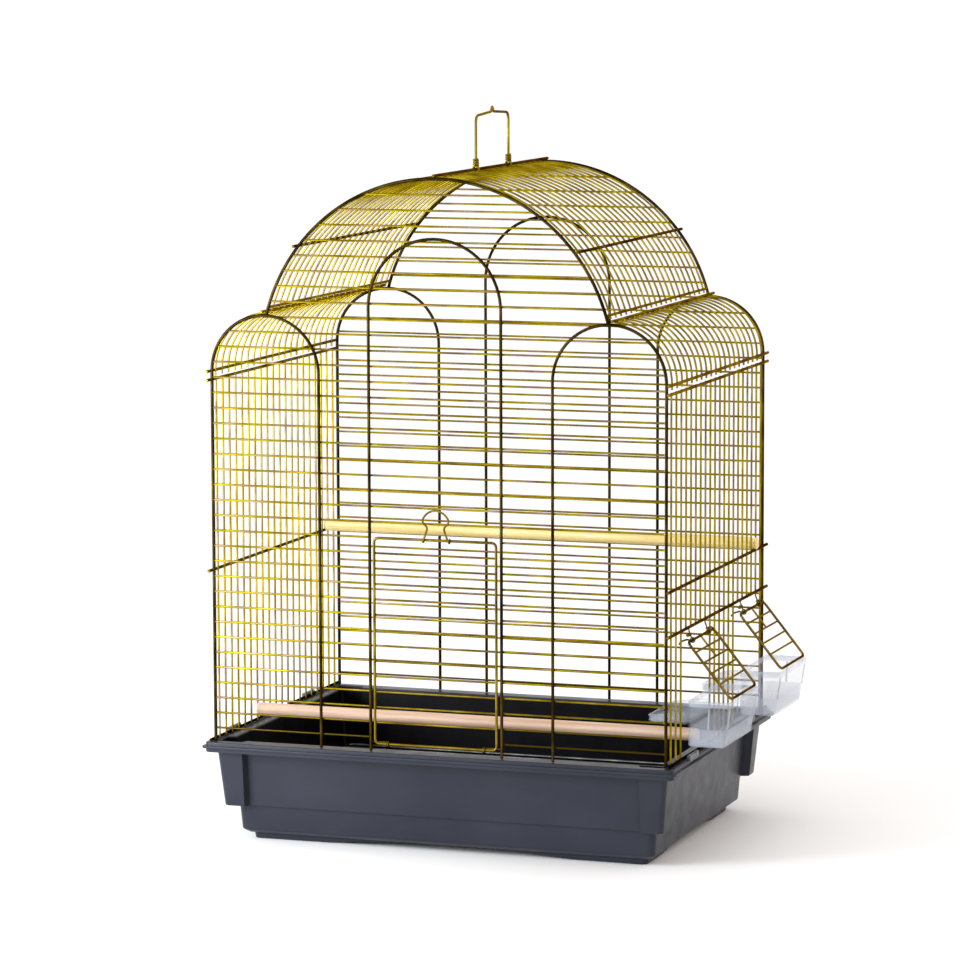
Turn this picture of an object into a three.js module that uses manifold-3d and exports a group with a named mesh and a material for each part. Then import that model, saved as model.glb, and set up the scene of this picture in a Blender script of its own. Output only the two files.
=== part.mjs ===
// Arch-top wire bird cage on a deep plastic tray, in millimetres, +Z up, front towards -Y.
// The tray stands on the ground plane; the wire cage stands on the tray's rim.
import * as THREE from 'three';
import { mergeVertices } from 'three/addons/utils/BufferGeometryUtils.js';
import Module from 'manifold-3d';

const wasm = await Module();
wasm.setup();

// ---- Driving dimensions -------------------------------------------------------------------
const CAGE_W = 460;            // between the centre lines of the outline wires, left to right
const CAGE_D = 338;            // between the front and back panels
const GAP = 0.3;               // clearance between pieces that touch on the real cage

const THICK = 3.2;             // outline wire
const BAR = 3.0;               // stiffener arches and rails
const THIN = 2.0;              // infill wire
const FRAME = 2.6;             // door frame wire

const RIM_Z = 100.5;           // top of the tray's rim above the ground
const ROW_FIRST = 13.7;        // lowest horizontal wire, above the rim
const ROW_PITCH = 15.0;        // between horizontal wires
const ROWS = 37;
const SIDE_WIRES = 20;         // upright wires in each side, and bent wires in the roof
const SIDE_PITCH = 16.5;

const SPRING_Z = 364;          // where the shoulders start to curve
const SHOULDER_R = 55.85;
const CROWN_Z = 554;           // top of the main arch
const ARCH_R = 178.3;
const CENTRE_ARCH_X = 66.9;    // legs of the centre stiffener arch
const CENTRE_SPRING_Z = 430;
const SIDE_RAIL_Z = 355.5;     // top rail of each side
const MID_RAIL_Z = 168.8;
const HATCH_RAIL_Z = 126;      // rail above the two feeder hatches
const RAIL_OVERHANG = 6;       // rails run past the outline wires by this much
const ROOF_BAR_ANGLE = 52;     // degrees from the ridge to the bar on each side of the roof

// The +X shoulder and roof in sections: degrees round their arcs from the horizontal, and where
// the rail or wire along each section lies.
const SHOULDER_SECTIONS = {
  lower: { from: 0, to: 43.35, rail: 0, railReach: CAGE_D / 2 + RAIL_OVERHANG },
  upper: { from: 43.65, to: 87, rail: 87, railReach: CAGE_D / 2 + RAIL_OVERHANG / 2 },
};
const ROOF_SECTIONS = {
  lower: { from: 17, to: 36.95, along: 17, size: 2.6, steps: 3 },
  upper: { from: 37.05, to: 63.95, along: 38, size: THIN, steps: 4 },
};
const ROOF_TOP = { from: 64.05, to: 115.95, along: 88, size: THIN, steps: 7 };

const DOOR_X = 62;             // front door, half width
const DOOR_HINGE_Z = 8;
const DOOR_TOP_ROW = 13;       // the door's top wire lies on this row
const LATCH_X = 2;
const LATCH_WIRE = 2.2;
const LATCH_STAND_OFF = 1.9;   // from the face of the door's frame to the latch's centre line

const HATCH_CENTRES = { front: -74.25, rear: 107.25 };
const HATCH_WIRES = 5;         // upright wires left out over each hatch
const HATCH_W = 88;
const HATCH_L = 68;
const HATCH_DROPS = [12, 24.5, 37, 50];     // its cross wires, down from the hinge wire
const HATCH_LEAN = 39;         // degrees, resting open on the feeder
const HATCH_HINGE = { x: 236.4, z: 113.5 };

const FEEDER = { length: 104, bottom: 12.5, top: 57, back: 236, outBottom: 273, outTop: 279.5, wall: 2 };
const SCOOP = { length: 84, bottom: 33, top: 46, inner: 195 };
const FEEDER_SHIFT = 6.25;     // the cup's body sits this far behind the hatch's centre

const HANDLE = { halfWidth: 49, top: 609, crest: 616.5, corner: 8 };
const PERCH_R = 6.3;
const PERCH_L = 460;
const PERCHES = { upper: { y: 132, z: 175.2 }, lower: { y: -60, z: 13.6 } };

const TRAY_W = 484;            // outermost edge of the rim
const TRAY_D = 360;
const TRAY_WALL = 2.5;
const CORNER_X = 202;          // the corner pillars start here on the long walls
const CORNER_Y = 141;          // and here on the short walls
const LEDGE_DEPTH = 61.5;      // from the rim down to the ledge where the walls step in
const FLOOR_DEPTH = 91;        // from the rim down to the floor inside
const GRILLE = { inset: 28.8, wires: 18 };

// The tray's sections: how far the low and the high end of each are set in from the rim's
// outermost edge, how far below the rim's top they lie, and the radius of the corners.
const FLANGE = { insets: [0, 0], depths: [6, 3.6], corner: 5 };
const RIM = { insets: [2.8, 2.8], depths: [10, 0], corner: 5 };
const PILLARS = { insets: [17, 11], depths: [65, 1], corner: 5 };
const CORE = { insets: [24.5, 19], depths: [65, 1], corner: 5 };
const LOWER = { insets: [29.5, 27.5], depths: [90, 64], corner: 6 };
const BASE = { insets: [35.5, 29.5], depths: [94, 90], corner: 6 };
const FOOT = { insets: [39.5, 38.5], depths: [100.5, 93.5], corner: 6 };

const CLIP_YS = { front: -104, back: 98 };
const CLIP_L = 30;
const CLIP_HINGE = { x: 238.4, z: -2.2 };   // z from the top of the rim
const CLIP_NOTCH = { from: 234.9, depth: 3.6, play: 0.4 };

// ---- Finishes -----------------------------------------------------------------------------
const brass = { color: 0xa98a35, roughness: 0.35, metalness: 0.85 };
const darkBrass = { color: 0x6b5218, roughness: 0.4, metalness: 0.8 };
const slate = { color: 0x3b3e4a, roughness: 0.5, metalness: 0 };
const steel = { color: 0x8f9195, roughness: 0.35, metalness: 0.8 };
const beech = { color: 0xe0b48c, roughness: 0.6, metalness: 0 };
const pine = { color: 0xdcc07e, roughness: 0.6, metalness: 0 };
const clear = { color: 0xc9d3e2, roughness: 0.15, metalness: 0 };
const greyPlastic = { color: 0xb9bcc2, roughness: 0.4, metalness: 0 };

// ---- Solid helpers ------------------------------------------------------------------------
const rad = THREE.MathUtils.degToRad;

function toManifold(geometry) {
  const bare = geometry.clone();
  bare.deleteAttribute('normal');
  bare.deleteAttribute('uv');
  const merged = mergeVertices(bare, 1e-4);
  return new wasm.Manifold(new wasm.Mesh({
    numProp: 3,
    vertProperties: new Float32Array(merged.attributes.position.array),
    triVerts: new Uint32Array(merged.index.array),
  }));
}

function toGeometry(manifold) {
  const mesh = manifold.getMesh();
  const geometry = new THREE.BufferGeometry();
  geometry.setAttribute('position', new THREE.BufferAttribute(mesh.vertProperties, 3));
  geometry.setIndex(new THREE.BufferAttribute(mesh.triVerts, 1));
  geometry.computeVertexNormals();
  return geometry;
}

function join(geometries) {
  const solids = geometries.map(toManifold);
  return toGeometry(solids.reduce((whole, solid) => whole.add(solid)));
}

function cut(geometry, tools) {
  const whole = toManifold(geometry);
  return toGeometry(tools.map(toManifold).reduce((rest, tool) => rest.subtract(tool), whole));
}

// A box given by its lowest and highest corners.
function block(x0, x1, y0, y1, z0, z1) {
  const box = new THREE.BoxGeometry(x1 - x0, y1 - y0, z1 - z0);
  return box.translate((x0 + x1) / 2, (y0 + y1) / 2, (z0 + z1) / 2);
}

// Straight square wires along each axis, given by their centre lines.
const around = (centre, size) => [centre - size / 2, centre + size / 2];
const wireX = (x0, x1, y, z, size) => block(x0, x1, ...around(y, size), ...around(z, size));
const wireY = (y0, y1, x, z, size) => block(...around(x, size), y0, y1, ...around(z, size));
const wireZ = (z0, z1, x, y, size) => block(...around(x, size), ...around(y, size), z0, z1);

// Points of an arc, angles in degrees, from the first to the last.
function arc(cx, cy, radius, from, to, steps) {
  const points = [];
  for (let i = 0; i <= steps; i += 1) {
    const angle = rad(from + (to - from) * i / steps);
    points.push(new THREE.Vector2(cx + radius * Math.cos(angle), cy + radius * Math.sin(angle)));
  }
  return points;
}

const at = (x, y) => new THREE.Vector2(x, y);

// The two edges of a bent wire: its centre line moved half its width to either side.
function edges(points, width, closed) {
  const sides = [[], []];
  points.forEach((point, i) => {
    const before = points[i - 1] ?? (closed ? points[points.length - 1] : point);
    const after = points[i + 1] ?? (closed ? points[0] : point);
    const arriving = point.clone().sub(before).normalize();
    const leaving = after.clone().sub(point).normalize();
    const along = arriving.clone().add(leaving).normalize();
    const straight = Math.max(along.dot(arriving), along.dot(leaving));
    const reach = width / 2 / straight;
    const normal = at(-along.y, along.x).multiplyScalar(reach);
    sides[0].push(point.clone().add(normal));
    sides[1].push(point.clone().sub(normal));
  });
  return sides;
}

// A square wire bent in the XZ plane about y = 0, from its centre line.
function bentWire(points, width, closed = false) {
  const [left, right] = edges(points, width, closed);
  let shape;
  if (closed) {
    shape = new THREE.Shape(right);
    shape.holes.push(new THREE.Path(left));
  } else {
    shape = new THREE.Shape([...right, ...left.reverse()]);
  }
  const wire = new THREE.ExtrudeGeometry(shape, { depth: width, steps: 1, bevelEnabled: false });
  return wire.rotateX(Math.PI / 2).translate(0, width / 2, 0);
}

// A rectangle with rounded corners, extruded upwards, whose top may differ in size from its base.
function frustum(base, top, z0, z1, corner) {
  const [hx, hy] = [base[0] - corner, base[1] - corner];
  const outline = new THREE.Shape([
    ...arc(hx, hy, corner, 0, 90, 4),
    ...arc(-hx, hy, corner, 90, 180, 4),
    ...arc(-hx, -hy, corner, 180, 270, 4),
    ...arc(hx, -hy, corner, 270, 360, 4),
  ]);
  const solid = new THREE.ExtrudeGeometry(outline, { depth: z1 - z0, steps: 1, bevelEnabled: false });
  const position = solid.attributes.position;
  for (let i = 0; i < position.count; i += 1) {
    if (position.getZ(i) > (z1 - z0) / 2) {
      position.setX(i, position.getX(i) * top[0] / base[0]);
      position.setY(i, position.getY(i) * top[1] / base[1]);
    }
  }
  return solid.translate(0, 0, z0);
}

function part(name, geometry, finish) {
  const mesh = new THREE.Mesh(geometry, new THREE.MeshStandardMaterial(finish));
  mesh.name = name;
  return mesh;
}

// ---- Wire cage ----------------------------------------------------------------------------
const HALF_W = CAGE_W / 2;
const HALF_D = CAGE_D / 2;
const SHOULDER_X = HALF_W - SHOULDER_R;
const ARCH_Z = CROWN_Z - ARCH_R;
const VALLEY_Z = SPRING_Z + SHOULDER_R;
const VALLEY_ANGLE = THREE.MathUtils.radToDeg(Math.asin((VALLEY_Z - ARCH_Z) / ARCH_R));
const RAIL_X = HALF_W + THICK / 2 + GAP + BAR / 2;
const ARCH_Y = HALF_D + THICK / 2 + GAP + BAR / 2;
const OUTER_RAIL_X = RAIL_X + BAR + GAP;
const rowZ = (row) => ROW_FIRST + ROW_PITCH * row;

// The outline of the front and back panels: legs, quarter-round shoulders and the main arch.
function outlinePoints() {
  const right = [
    at(HALF_W, GAP),
    ...arc(SHOULDER_X, SPRING_Z, SHOULDER_R, 0, 90, 6),
    ...arc(0, ARCH_Z, ARCH_R, VALLEY_ANGLE, 90, 9),
  ];
  const left = right.slice(0, -1).reverse().map((point) => at(-point.x, point.y));
  return [...right, ...left];
}

// Half the clear width inside the outline at a height.
function halfWidthAt(z) {
  if (z <= SPRING_Z) return HALF_W;
  if (z < VALLEY_Z) return SHOULDER_X + Math.sqrt(SHOULDER_R ** 2 - (z - SPRING_Z) ** 2);
  return Math.sqrt(Math.max(ARCH_R ** 2 - (z - ARCH_Z) ** 2, 0));
}

// Front or back panel: the outline wire with its horizontal wires, left open over a doorway.
function panel(doorTopRow) {
  const pieces = [bentWire(outlinePoints(), THICK)];
  for (let row = 0; row < ROWS; row += 1) {
    const z = rowZ(row);
    const reach = halfWidthAt(z);
    if (z > CROWN_Z - THICK) continue;
    if (row <= doorTopRow) {
      pieces.push(wireX(-reach, -CENTRE_ARCH_X, 0, z, THIN));
      pieces.push(wireX(CENTRE_ARCH_X, reach, 0, z, THIN));
    } else {
      pieces.push(wireX(-reach, reach, 0, z, THIN));
    }
  }
  return join(pieces);
}

const sideArch = () => bentWire([
  ...arc(SHOULDER_X, SPRING_Z, SHOULDER_R, 88, 180, 6),
  at(HALF_W - 2 * SHOULDER_R, GAP),
], BAR);

const centreArch = () => bentWire([
  at(CENTRE_ARCH_X, GAP),
  ...arc(0, CENTRE_SPRING_Z, CENTRE_ARCH_X, 0, 180, 14),
  at(-CENTRE_ARCH_X, GAP),
], BAR);

// The y of each upright wire of the sides and of each bent wire of the roof.
function wireYs() {
  const first = -SIDE_PITCH * (SIDE_WIRES - 1) / 2;
  return Array.from({ length: SIDE_WIRES }, (_, i) => first + SIDE_PITCH * i);
}

// A side panel as seen on the +X side; hatches are left open below the hatch rail.
function sidePanel(hatchCentres) {
  const reach = HALF_D + RAIL_OVERHANG;
  const uprightX = HALF_W + THICK / 2;
  const pieces = [wireY(-reach, reach, RAIL_X, SIDE_RAIL_Z, BAR)];
  pieces.push(wireY(-reach, reach, RAIL_X, BAR / 2 + GAP, BAR));
  const hatchReach = SIDE_PITCH * HATCH_WIRES / 2;
  for (const y of wireYs()) {
    const overHatch = hatchCentres.some((centre) => Math.abs(y - centre) < hatchReach);
    pieces.push(wireZ(overHatch ? HATCH_RAIL_Z - BAR / 2 : BAR / 2, SIDE_RAIL_Z, uprightX, y, THIN));
  }
  return join(pieces);
}

// Evenly spaced wires bent to an arc of the XZ plane, held together by one wire along Y.
function bentSection(arcPoints, along) {
  const bent = bentWire(arcPoints, THIN);
  return join([along, ...wireYs().map((y) => bent.clone().translate(0, y, 0))]);
}

// Half of a shoulder: bent wires held by a rail that passes outside the outline wires.
function shoulderSection({ from, to, rail, railReach }) {
  const radius = SHOULDER_R + THICK / 2;
  const railRadius = radius + GAP + BAR / 2;
  const railX = SHOULDER_X + railRadius * Math.cos(rad(rail));
  const railZ = SPRING_Z + railRadius * Math.sin(rad(rail));
  const points = arc(SHOULDER_X, SPRING_Z, radius, from, to, 3);
  return bentSection(points, wireY(-railReach, railReach, railX, railZ, BAR));
}

// A section of the roof, held by a wire along it, between the front and back outlines.
function roofSection({ from, to, along, size, steps }) {
  const reach = HALF_D - THICK / 2 - GAP;
  const alongX = ARCH_R * Math.cos(rad(along));
  const alongZ = ARCH_Z + ARCH_R * Math.sin(rad(along));
  const points = arc(0, ARCH_Z, ARCH_R, from, to, steps);
  return bentSection(points, wireY(-reach, reach, alongX, alongZ, size));
}

// A long bar lying on the roof at an angle round the main arch.
function roofBar(name, angle) {
  const reach = HALF_D + RAIL_OVERHANG - 2;
  const radius = ARCH_R + THICK / 2 + GAP + BAR / 2;
  const bar = part(name, new THREE.BoxGeometry(BAR, 2 * reach, BAR), darkBrass);
  bar.position.set(radius * Math.sin(rad(angle)), 0, ARCH_Z + radius * Math.cos(rad(angle)));
  bar.rotation.y = rad(angle);
  return bar;
}

// A rail across the outside of a side panel.
function outerRail(name, side, z) {
  const rail = part(name, new THREE.BoxGeometry(BAR, CAGE_D + 2 * RAIL_OVERHANG, BAR), darkBrass);
  rail.position.set(side * OUTER_RAIL_X, 0, z);
  return rail;
}

function mirrored(geometry) {
  const copy = geometry.clone();
  return copy.rotateZ(Math.PI);
}

function framework() {
  const group = new THREE.Group();
  const front = part('front_panel', panel(DOOR_TOP_ROW), brass);
  front.position.y = -HALF_D;
  const back = part('back_panel', panel(-1), brass);
  back.position.y = HALF_D;
  group.add(front, back);
  for (const [place, y] of [['front', -ARCH_Y], ['back', ARCH_Y]]) {
    const centre = part(`${place}_arch_centre`, centreArch(), darkBrass);
    const right = part(`${place}_arch_right`, sideArch(), darkBrass);
    const left = part(`${place}_arch_left`, mirrored(sideArch()), darkBrass);
    for (const arch of [centre, right, left]) arch.position.y = y;
    group.add(centre, right, left);
  }
  group.add(part('side_panel_right', sidePanel(Object.values(HATCH_CENTRES)), brass));
  group.add(part('side_panel_left', mirrored(sidePanel([])), brass));
  for (const [place, section] of Object.entries(SHOULDER_SECTIONS)) {
    const shape = shoulderSection(section);
    group.add(part(`shoulder_right_${place}`, shape, brass));
    group.add(part(`shoulder_left_${place}`, mirrored(shape), brass));
  }
  for (const [place, section] of Object.entries(ROOF_SECTIONS)) {
    const shape = roofSection(section);
    group.add(part(`roof_right_${place}`, shape, brass));
    group.add(part(`roof_left_${place}`, mirrored(shape), brass));
  }
  group.add(part('roof_top', roofSection(ROOF_TOP), brass));
  group.add(roofBar('ridge_bar', 0));
  group.add(roofBar('roof_bar_right', ROOF_BAR_ANGLE), roofBar('roof_bar_left', -ROOF_BAR_ANGLE));
  group.add(outerRail('side_rail_right', 1, MID_RAIL_Z), outerRail('side_rail_left', -1, MID_RAIL_Z));
  group.add(outerRail('hatch_rail', 1, HATCH_RAIL_Z));
  return group;
}

// ---- Front door and its latch -------------------------------------------------------------
function frontDoor() {
  const top = rowZ(DOOR_TOP_ROW);
  const frame = bentWire([
    at(DOOR_X, DOOR_HINGE_Z), at(DOOR_X, top), at(-DOOR_X, top), at(-DOOR_X, DOOR_HINGE_Z),
  ], FRAME, true);
  const pieces = [frame];
  for (let row = 1; row < DOOR_TOP_ROW; row += 1) {
    pieces.push(wireX(-DOOR_X, DOOR_X, 0, rowZ(row), THIN));
  }
  const door = part('front_door', join(pieces), brass);
  door.position.y = -ARCH_Y;
  return door;
}

// A squeeze latch bent from one wire: splayed feet, a waist with two ears and a round top.
function doorLatch() {
  const foot = rowZ(DOOR_TOP_ROW) - 1;
  const half = [at(13, foot), at(9, foot + 9), at(8, foot + 13), at(13.5, foot + 16.5), at(10, foot + 21)];
  const left = half.map((point) => at(-point.x, point.y)).reverse();
  const top = arc(0, foot + 22, 8.5, 20, 160, 6);
  const latch = part('door_latch', bentWire([...half, ...top, ...left], LATCH_WIRE), darkBrass);
  latch.position.set(LATCH_X, -ARCH_Y - FRAME / 2 - LATCH_STAND_OFF, 0);
  return latch;
}

// ---- Feeder hatches and feeders -----------------------------------------------------------
// A hatch hangs from its top bar, which is its hinge, and leans outwards on the feeder.
function hatch(name, centreY) {
  const frame = bentWire([
    at(-HATCH_W / 2, -HATCH_L), at(HATCH_W / 2, -HATCH_L), at(HATCH_W / 2, 0), at(-HATCH_W / 2, 0),
  ], FRAME, true);
  const pieces = [frame];
  for (const drop of HATCH_DROPS) {
    pieces.push(wireX(-HATCH_W / 2, HATCH_W / 2, 0, -drop, THIN));
  }
  pieces.push(wireZ(-HATCH_DROPS[1], 0, 0, 0, THIN));
  const flap = part(name, join(pieces), brass);
  flap.rotation.z = Math.PI / 2;
  const lean = new THREE.Group();
  lean.add(flap);
  lean.rotation.y = rad(-HATCH_LEAN);
  lean.position.set(HATCH_HINGE.x, centreY, HATCH_HINGE.z);
  return lean;
}

// A prism along Y, from its outline in X and Z.
function prismY(points, y0, y1) {
  const shape = new THREE.Shape(points);
  const prism = new THREE.ExtrudeGeometry(shape, { depth: y1 - y0, steps: 1, bevelEnabled: false });
  return prism.rotateX(Math.PI / 2).translate(0, y1, 0);
}

// A clear cup outside the wall whose shallow scoop reaches in through the hatch opening.
function feeder(name, centreY) {
  const { length, bottom, top, back, outBottom, outTop, wall } = FEEDER;
  const half = length / 2;
  const bodyY = FEEDER_SHIFT;
  const bodyOutline = [
    at(back, bottom),
    at(outBottom, bottom),
    at(outTop, top),
    at(back, top),
  ];
  const spaceOutline = [
    at(back + wall, bottom + wall),
    at(outBottom - wall, bottom + wall),
    at(outTop - wall, top + 1),
    at(back + wall, top + 1),
  ];
  const body = prismY(bodyOutline, bodyY - half, bodyY + half);
  const bodySpace = prismY(spaceOutline, bodyY - half + wall, bodyY + half - wall);
  const reach = SCOOP.length / 2;
  const scoop = block(SCOOP.inner, back + wall, -reach, reach, SCOOP.bottom, SCOOP.top);
  const inner = reach - wall;
  const floor = SCOOP.bottom + wall;
  const scoopSpace = block(SCOOP.inner + wall, back + wall + 1, -inner, inner, floor, top + 1);
  const cup = part(name, cut(join([body, scoop]), [bodySpace, scoopSpace]), clear);
  cup.position.y = centreY;
  return cup;
}

// ---- Handle and perches -------------------------------------------------------------------
// The carrying handle: its two feet are bent into loops round the ridge bar.
function handle() {
  const { halfWidth, top, crest, corner } = HANDLE;
  const ridgeZ = CROWN_Z + THICK / 2 + GAP + BAR / 2;
  const right = [
    at(halfWidth, ridgeZ + 4),
    ...arc(halfWidth - corner, top - corner, corner, 0, 90, 4),
    at(7, top),
    at(3, top + 2.5),
  ];
  const left = right.map((point) => at(-point.x, point.y)).reverse();
  const bail = bentWire([...right, at(0, crest - 1), ...left], FRAME).rotateZ(Math.PI / 2);
  const loops = [-1, 1].map((side) => {
    const loop = bentWire(arc(0, ridgeZ, 3.7, 0, 324, 9), 1.8, true);
    return loop.translate(0, side * halfWidth, 0);
  });
  return part('handle', join([bail, ...loops]), brass);
}

function perch(name, place, finish) {
  const rod = new THREE.CylinderGeometry(PERCH_R, PERCH_R, PERCH_L, 20).rotateZ(Math.PI / 2);
  const mesh = part(name, rod, finish);
  mesh.position.set(0, place.y, place.z);
  return mesh;
}

// ---- Tray ---------------------------------------------------------------------------------
// Half sizes of a rectangle set in from the outermost edge of the rim.
const inset = (amount) => [TRAY_W / 2 - amount, TRAY_D / 2 - amount];

// A section of the tray as a solid block.
function tier({ insets: [low, high], depths: [bottom, top], corner }) {
  return frustum(inset(low), inset(high), RIM_Z - bottom, RIM_Z - top, corner);
}

// The space inside a section between its own depths: the section set in by its wall.
function hollow({ insets, corner }, depths, wall = TRAY_WALL) {
  const inner = insets.map((amount) => amount + wall);
  return tier({ insets: inner, depths, corner: Math.max(corner - wall, 1) });
}

// Boxes that cover the long middle of the walls, leaving only the four corners.
function middles(x, y, low, high) {
  const [farX, farY] = [TRAY_W / 2 + 1, TRAY_D / 2 + 1];
  return [
    block(-x, x, -farY, farY, RIM_Z - low, RIM_Z - high),
    block(-farX, farX, -y, y, RIM_Z - low, RIM_Z - high),
  ];
}

// A shallow arch cut under the foot of the tray, along the Y axis.
function footArch(halfSpan, rise, halfDepth) {
  const radius = (halfSpan ** 2 + rise ** 2) / (2 * rise);
  const sweep = THREE.MathUtils.radToDeg(Math.asin(halfSpan / radius));
  const crown = arc(0, rise - radius, radius, 90 - sweep, 90 + sweep, 8);
  return prismY([at(halfSpan, -2), ...crown, at(-halfSpan, -2)], -halfDepth, halfDepth);
}

// Notches in the rim of the short sides, in which the clips turn.
function clipNotches() {
  const reach = CLIP_L / 2 + CLIP_NOTCH.play;
  const far = TRAY_W / 2 + 1;
  const floor = RIM_Z - CLIP_NOTCH.depth;
  return Object.values(CLIP_YS).flatMap((y) => [
    block(CLIP_NOTCH.from, far, y - reach, y + reach, floor, RIM_Z + 1),
    block(-far, -CLIP_NOTCH.from, y - reach, y + reach, floor, RIM_Z + 1),
  ]);
}

function trayBase() {
  const rim = cut(tier(RIM), [hollow(RIM, [10.5, 2.5], 2.4)]);
  const flange = cut(tier(FLANGE), [hollow(FLANGE, [6.5, 3], 4)]);
  const pillars = cut(tier(PILLARS), middles(CORNER_X, CORNER_Y, 66, 0));
  const solid = join([rim, flange, pillars, tier(CORE), tier(LOWER), tier(BASE), tier(FOOT)]);
  const pocketWalls = middles(CORNER_X + TRAY_WALL, CORNER_Y + TRAY_WALL, 63, -2);
  const cavity = [
    hollow(CORE, [LEDGE_DEPTH, -1]),
    cut(hollow(PILLARS, [LEDGE_DEPTH, -1]), pocketWalls),
    hollow(LOWER, [FLOOR_DEPTH, LEDGE_DEPTH - 0.5]),
    footArch(130, 6, TRAY_D),
    footArch(84, 6, TRAY_W).rotateZ(Math.PI / 2),
    hollow(FOOT, [101, 94.5], 3.5),
    ...clipNotches(),
  ];
  return part('tray_base', cut(solid, cavity), slate);
}

// The floor grille lies on the ledge where the tray's walls step in.
function floorGrille() {
  const [x, y] = inset(GRILLE.inset);
  const frame = bentWire([at(x, y), at(-x, y), at(-x, -y), at(x, -y)], BAR, true);
  const pieces = [frame.rotateX(-Math.PI / 2)];
  for (let i = 1; i <= GRILLE.wires; i += 1) {
    pieces.push(wireX(-x, x, -y + 2 * y * i / (GRILLE.wires + 1), 0, THIN));
  }
  const grille = part('floor_grille', join(pieces), steel);
  grille.position.z = RIM_Z - LEDGE_DEPTH + BAR / 2 + GAP;
  return grille;
}

// A clip on the rim of a short side: a short upright lever that presses on the side's bottom rail.
function trayClip(name, side, y) {
  const profile = [
    at(-3.1, 3), at(-3.1, -0.2), at(-2.2, -1.1), at(0.6, -1.1), at(1.1, 0.4), at(0.6, 6.6), at(-1.8, 6.6),
  ];
  const clip = part(name, prismY(profile, -CLIP_L / 2, CLIP_L / 2), greyPlastic);
  clip.position.set(CLIP_HINGE.x, 0, RIM_Z + CLIP_HINGE.z);
  const turned = new THREE.Group();
  turned.add(clip);
  turned.rotation.z = side > 0 ? 0 : Math.PI;
  turned.position.y = y;
  return turned;
}

// ---- Assembly -----------------------------------------------------------------------------
const wireCage = framework();
wireCage.add(frontDoor(), doorLatch(), handle());
wireCage.add(perch('perch_upper', PERCHES.upper, pine), perch('perch_lower', PERCHES.lower, beech));
for (const [place, y] of Object.entries(HATCH_CENTRES)) {
  wireCage.add(hatch(`feeder_hatch_${place}`, y), feeder(`feeder_${place}`, y));
}
wireCage.position.z = RIM_Z;

const birdCage = new THREE.Group();
birdCage.add(trayBase(), floorGrille(), wireCage);
for (const [place, y] of Object.entries(CLIP_YS)) {
  birdCage.add(trayClip(`tray_clip_${place}_right`, 1, y), trayClip(`tray_clip_${place}_left`, -1, y));
}

// The feeders stand out on one side only, so the whole is centred over its origin.
const bounds = new THREE.Box3().setFromObject(birdCage);
birdCage.position.x = -(bounds.min.x + bounds.max.x) / 2;

export default birdCage;
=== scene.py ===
"""Arch-topped wire bird cage on a plastic tray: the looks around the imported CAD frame, in metres."""

import math

import bmesh
import bpy
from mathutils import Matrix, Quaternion, Vector


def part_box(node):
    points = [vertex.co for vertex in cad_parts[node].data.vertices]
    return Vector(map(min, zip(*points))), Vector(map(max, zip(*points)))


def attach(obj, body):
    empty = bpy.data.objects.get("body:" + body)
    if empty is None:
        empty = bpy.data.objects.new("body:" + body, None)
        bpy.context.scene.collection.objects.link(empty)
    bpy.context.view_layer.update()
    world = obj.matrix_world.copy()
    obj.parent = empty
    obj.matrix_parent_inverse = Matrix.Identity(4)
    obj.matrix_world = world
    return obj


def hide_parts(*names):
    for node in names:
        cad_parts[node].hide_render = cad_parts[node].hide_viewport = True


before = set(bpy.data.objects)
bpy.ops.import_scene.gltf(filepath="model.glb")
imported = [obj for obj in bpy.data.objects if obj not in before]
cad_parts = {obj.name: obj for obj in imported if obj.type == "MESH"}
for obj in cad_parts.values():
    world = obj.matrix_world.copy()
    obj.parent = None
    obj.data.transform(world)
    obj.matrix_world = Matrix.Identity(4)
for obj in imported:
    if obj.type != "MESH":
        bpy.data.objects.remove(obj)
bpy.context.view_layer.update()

MM = 0.001

# ---- Driving dimensions, taken from the frame -----------------------------------------------
RIM_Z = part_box("tray_base")[1].z
CENTRE_X = sum(corner.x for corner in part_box("front_panel")) / 2
THICK = 3.2 * MM                # outline wire
BAR = 3.0 * MM                  # stiffener arches, rails and roof bars
THIN = 2.0 * MM                 # infill wire
FRAME = 2.6 * MM                # door, hatch and handle wire
LOOP_WIRE = 1.3 * MM            # of the small loops that the door and the hatches turn in
LOOP_R = 2.2 * MM
BEAD_R = THIN * 0.62            # weld beads of the horizontal wires
UPRIGHT_BEAD_R = THIN * 0.6
LEG_FOOT_Z = 0.3 * MM           # the legs of the outline and of the arches end here
HALF_W = (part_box("front_panel")[1].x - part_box("front_panel")[0].x - THICK) / 2
HALF_D = sum(corner.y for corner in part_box("back_panel")) / 2
CROWN_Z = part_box("front_panel")[1].z - RIM_Z - THICK / 2

ROW_FIRST = 13.7 * MM
ROW_PITCH = 15.0 * MM
ROWS = 37
WIRE_PITCH = 16.5 * MM
WIRE_YS = [WIRE_PITCH * (i - 9.5) for i in range(20)]

SPRING_Z = 364 * MM             # where the shoulders start to curve
SHOULDER_R = 55.85 * MM
SHOULDER_X = HALF_W - SHOULDER_R
ARCH_R = 178.3 * MM
ARCH_Z = CROWN_Z - ARCH_R
VALLEY_Z = SPRING_Z + SHOULDER_R
VALLEY_ANGLE = math.degrees(math.asin((VALLEY_Z - ARCH_Z) / ARCH_R))
CENTRE_ARCH_X = 66.9 * MM
CENTRE_SPRING_Z = 430 * MM
SIDE_RAIL_Z = 355.5 * MM
BOTTOM_RAIL_Z = 1.8 * MM
MID_RAIL_Z = sum(corner.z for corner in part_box("side_rail_right")) / 2 - RIM_Z
HATCH_RAIL_Z = sum(corner.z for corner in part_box("hatch_rail")) / 2 - RIM_Z
RAIL_OVERHANG = 6 * MM
ROOF_BAR_ANGLE = 52

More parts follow.
